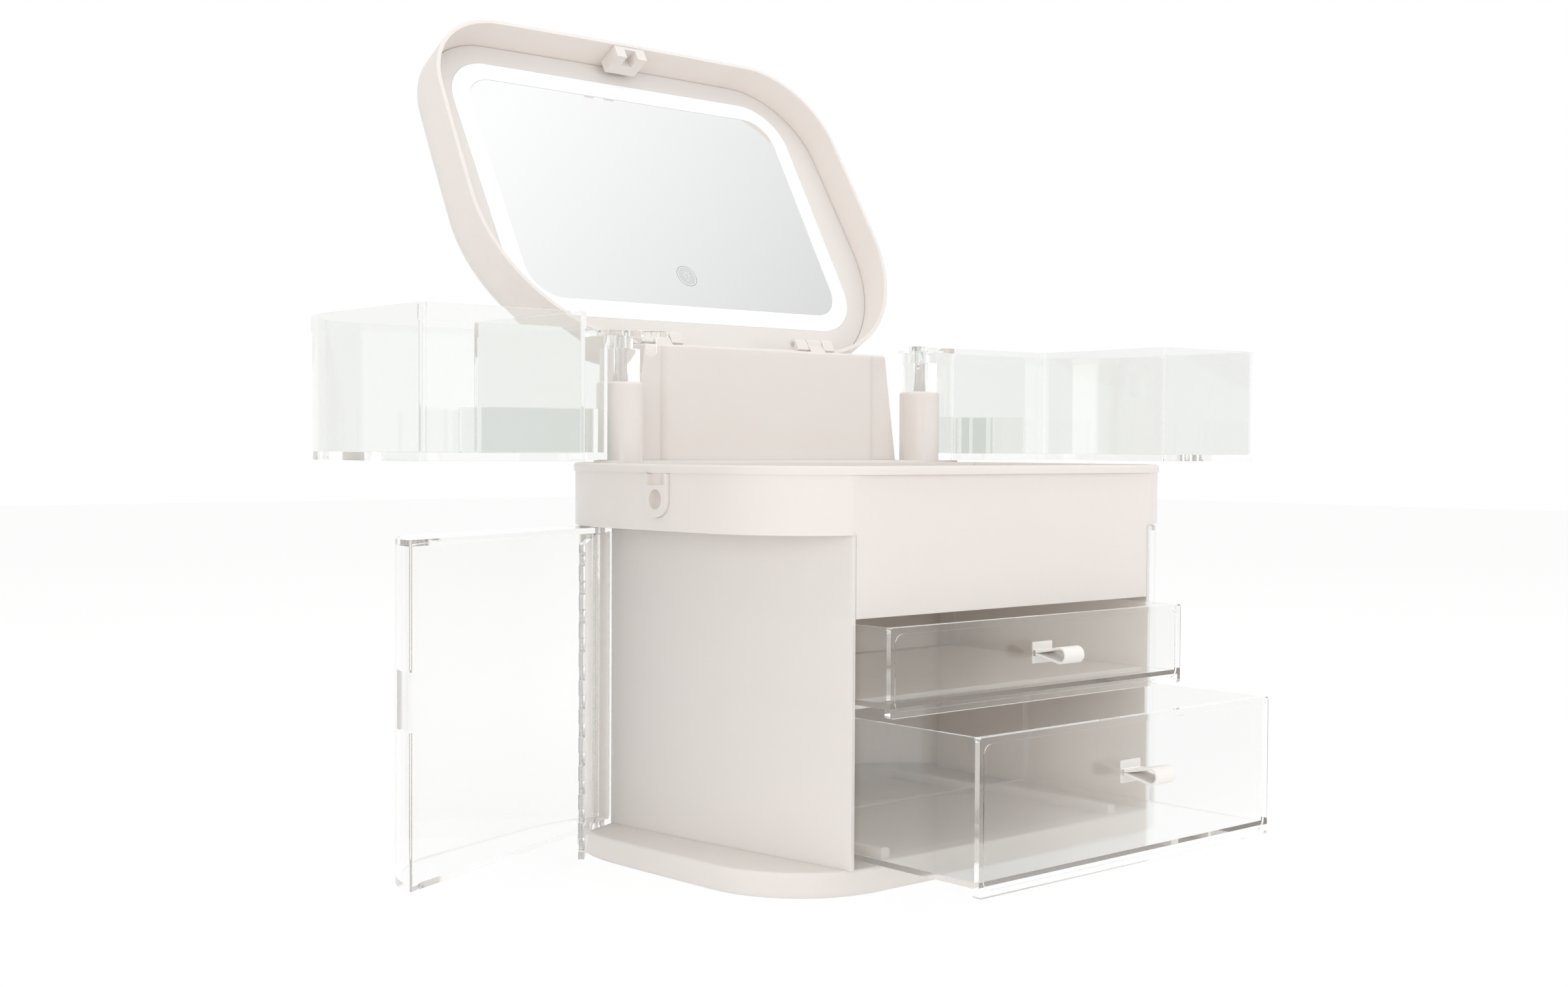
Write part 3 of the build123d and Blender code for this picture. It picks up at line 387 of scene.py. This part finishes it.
def icon_ring(bm, radius, x, y, start, sweep):
    """A round wire arc lying in the icon's plane."""
    made = bmesh.ops.create_circle(bm, segments=8, radius=LINE)["verts"]
    bmesh.ops.rotate(bm, verts=made, cent=(0, 0, 0), matrix=Matrix.Rotation(pi / 2, 3, "X"))
    bmesh.ops.translate(bm, verts=made, vec=(radius, 0, 0))
    bmesh.ops.rotate(bm, verts=made, cent=(0, 0, 0), matrix=Matrix.Rotation(start, 3, "Z"))
    bmesh.ops.translate(bm, verts=made, vec=(x, y, 0))
    edges = list(dict.fromkeys(edge for corner in made for edge in corner.link_edges))
    full = abs(sweep - 2 * pi) < 0.001
    spun = bmesh.ops.spin(bm, geom=made + edges, cent=(x, y, 0), axis=(0, 0, 1), dvec=(0, 0, 0),
                          angle=sweep, steps=48 if full else 24, use_merge=full)["geom_last"]
    if not full:
        bmesh.ops.contextual_create(bm, geom=edges)
        bmesh.ops.contextual_create(bm, geom=edges_of(spun))


def icon_line(bm, length, x, y, angle):
    """A short round line centred at x, y."""
    made = bmesh.ops.create_cone(bm, cap_ends=True, segments=8, radius1=LINE, radius2=LINE,
                                 depth=length)["verts"]
    bmesh.ops.rotate(bm, verts=made, cent=(0, 0, 0), matrix=Matrix.Rotation(pi / 2, 3, "Y"))
    bmesh.ops.rotate(bm, verts=made, cent=(0, 0, 0), matrix=Matrix.Rotation(angle, 3, "Z"))
    bmesh.ops.translate(bm, verts=made, vec=(x, y, 0))


# Icon of the touch button: a ring round a small bulb with rays and two lines under it
LID_TURN = radians(119.6)
FACE_OUT = Vector((0, -sin(LID_TURN), -cos(LID_TURN)))
FACE_UP = Vector((0, -cos(LID_TURN), sin(LID_TURN)))
ICON_PROUD, LINE = 1.0 * MM, 0.16 * MM
RING_RADIUS = 6.9 * MM
BULB_UP, BULB_RADIUS = 0.7 * MM, 1.9 * MM
NECK_HALF, NECK_DOWN, NECK_LONG = 0.95 * MM, 2.2 * MM, 1.2 * MM
RAY_COUNT, RAY_OUT, RAY_LONG = 5, 3.3 * MM, 0.8 * MM
BASE_LINES = ((2.0 * MM, 3.3 * MM), (1.4 * MM, 4.2 * MM))


def button_icon():
    low, high = (Vector(corner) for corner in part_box("touch_button"))
    facing = Matrix((Vector((1, 0, 0)), FACE_UP, FACE_OUT)).transposed().to_quaternion()
    on_button = Matrix.LocRotScale((low + high) / 2 + FACE_OUT * ICON_PROUD, facing, None)
    bm = bmesh.new()
    icon_ring(bm, RING_RADIUS, 0, 0, 0, 2 * pi)
    icon_ring(bm, BULB_RADIUS, 0, BULB_UP, radians(-60), radians(300))
    for side in (-1, 1):
        icon_line(bm, NECK_LONG, side * NECK_HALF, BULB_UP - NECK_DOWN, pi / 2)
    for count in range(RAY_COUNT):
        ray = pi * count / (RAY_COUNT - 1)
        icon_line(bm, RAY_LONG, RAY_OUT * cos(ray), BULB_UP + RAY_OUT * sin(ray), ray)
    for length, down in BASE_LINES:
        icon_line(bm, length, 0, BULB_UP - down, 0)
    bmesh.ops.transform(bm, matrix=on_button, verts=bm.verts)
    piece("button_icon", bm, "lid", icon_white)


button_icon()


# ---------------------------------------------------------------- floor, light and camera
def see_through(nodes, links, plain, shown):
    """Mixes two shaders so that the eye, and what glass and metal show, get the second one."""
    path = nodes.new("ShaderNodeLightPath")
    last = path.outputs["Is Camera Ray"]
    for label in ("Is Glossy Ray", "Is Transmission Ray"):
        most = nodes.new("ShaderNodeMath")
        most.operation = "MAXIMUM"
        links.new(last, most.inputs[0])
        links.new(path.outputs[label], most.inputs[1])
        last = most.outputs[0]
    mix = nodes.new("ShaderNodeMixShader")
    links.new(last, mix.inputs["Fac"])
    links.new(plain, mix.inputs[1])
    links.new(shown, mix.inputs[2])
    return mix.outputs[0], path


FLOOR_HALF, PAPER, WHITE_SHARE, WHITE_LEVEL = 6.0, (0.94, 0.94, 0.94, 1), 0.8, 1.06


def white_sweep():
    """A matt white floor that the eye sees nearly evenly white, with the object's faint shadow."""
    bm = bmesh.new()
    bmesh.ops.create_grid(bm, x_segments=1, y_segments=1, size=FLOOR_HALF)
    mesh = bpy.data.meshes.new("floor")
    bm.to_mesh(mesh)
    bm.free()
    floor = bpy.data.objects.new("floor", mesh)
    scene.collection.objects.link(floor)
    paper = bpy.data.materials.new("white_sweep")
    paper.use_nodes = True
    nodes, links = paper.node_tree.nodes, paper.node_tree.links
    matte = nodes["Principled BSDF"]
    matte.inputs["Base Color"].default_value = PAPER
    matte.inputs["Roughness"].default_value = 0.9
    matte.inputs["Specular IOR Level"].default_value = 0.0
    white = nodes.new("ShaderNodeEmission")
    white.inputs["Strength"].default_value = WHITE_LEVEL
    mostly_white = nodes.new("ShaderNodeMixShader")
    mostly_white.inputs["Fac"].default_value = WHITE_SHARE
    links.new(matte.outputs[0], mostly_white.inputs[1])
    links.new(white.outputs[0], mostly_white.inputs[2])
    seen, _ = see_through(nodes, links, matte.outputs[0], mostly_white.outputs[0])
    links.new(seen, nodes["Material Output"].inputs["Surface"])
    floor.data.materials.append(paper)


# Brightness by the height of the direction: of the room that lights the object, brightest near the
# horizon so that light gets into the cabinet, and of the room that the mirror shows
ROOM_LEVEL = 0.9
ROOM_STOPS = ((0.1, (1.25, 1.24, 1.23, 1)), (0.5, (0.8, 0.79, 0.78, 1)), (1.0, (0.5, 0.49, 0.48, 1)))
MIRRORED_STOPS = ((0.42, (1, 1, 1, 1)), (0.62, (0.64, 0.64, 0.64, 1)), (0.80, (1, 1, 1, 1)))


def studio_world():
    """A pale room for the light, a white one for the eye and one with a soft grey for the mirror."""
    world = bpy.data.worlds.new("studio")
    scene.world = world
    world.use_nodes = True
    nodes, links = world.node_tree.nodes, world.node_tree.links
    place = nodes.new("ShaderNodeTexCoord")
    split = nodes.new("ShaderNodeSeparateXYZ")
    links.new(place.outputs["Generated"], split.inputs[0])

    def by_height(stops):
        ramp = nodes.new("ShaderNodeValToRGB")
        made = ramp.color_ramp.elements
        made.new(stops[1][0])
        for stop, (spot, colour) in zip(made, stops):
            stop.position = spot
            stop.color = colour
        links.new(split.outputs["Z"], ramp.inputs["Fac"])
        return ramp.outputs["Color"]

    ambient = nodes["Background"]
    ambient.inputs["Strength"].default_value = ROOM_LEVEL
    links.new(by_height(ROOM_STOPS), ambient.inputs["Color"])
    tone = nodes.new("ShaderNodeMix")
    tone.data_type = "RGBA"
    tone.inputs[6].default_value = (1, 1, 1, 1)
    links.new(by_height(MIRRORED_STOPS), tone.inputs[7])
    bright = nodes.new("ShaderNodeBackground")
    links.new(tone.outputs[2], bright.inputs["Color"])
    seen, path = see_through(nodes, links, ambient.outputs[0], bright.outputs[0])
    links.new(path.outputs["Is Glossy Ray"], tone.inputs["Factor"])
    links.new(seen, nodes["World Output"].inputs["Surface"])


LAMP_AIM = Vector((0, 0, 0.2))


def soft_lamp(name, place, size, power):
    """A soft box aimed at the object, which mirror and gloss don't show."""
    light = bpy.data.lights.new(name, "AREA")
    light.shape = "RECTANGLE"
    light.size, light.size_y = size
    light.energy = power
    lamp = bpy.data.objects.new(name, light)
    lamp.location = place
    lamp.visible_glossy = False
    lamp.rotation_euler = (LAMP_AIM - Vector(place)).to_track_quat("-Z", "Y").to_euler()
    scene.collection.objects.link(lamp)


white_sweep()
studio_world()
soft_lamp("overhead", (0.1, -0.1, 1.9), (2.0, 2.0), 14.0)
soft_lamp("left_front", (-1.75, -1.15, 0.35), (1.5, 1.0), 9.0)
soft_lamp("front_right", (0.8, -2.0, 0.4), (1.4, 1.0), 5.0)

# The camera that fits the photograph
SENSOR_MM, FOCAL_PIXELS, FRAME_PIXELS = 36.0, 2850.0, 2408.0
EYE = (-0.7412, -0.7707, 0.2195)
HEADING, PITCH, ROLL = radians(41.5), radians(-1.4), radians(0.3)
camera_data = bpy.data.cameras.new("camera")
camera_data.lens = SENSOR_MM * FOCAL_PIXELS / FRAME_PIXELS
camera_data.sensor_width = SENSOR_MM
camera = bpy.data.objects.new("camera", camera_data)
scene.collection.objects.link(camera)
ahead = Vector((sin(HEADING) * cos(PITCH), cos(HEADING) * cos(PITCH), sin(PITCH)))
level = Vector((cos(HEADING), -sin(HEADING), 0))
above = level.cross(ahead)
right = level * cos(ROLL) + above * sin(ROLL)
up = above * cos(ROLL) - level * sin(ROLL)
facing = Matrix((right, up, -ahead)).transposed()
camera.matrix_world = Matrix.Translation(EYE) @ facing.to_4x4()
scene.camera = camera
scene.view_settings.view_transform = "Standard"
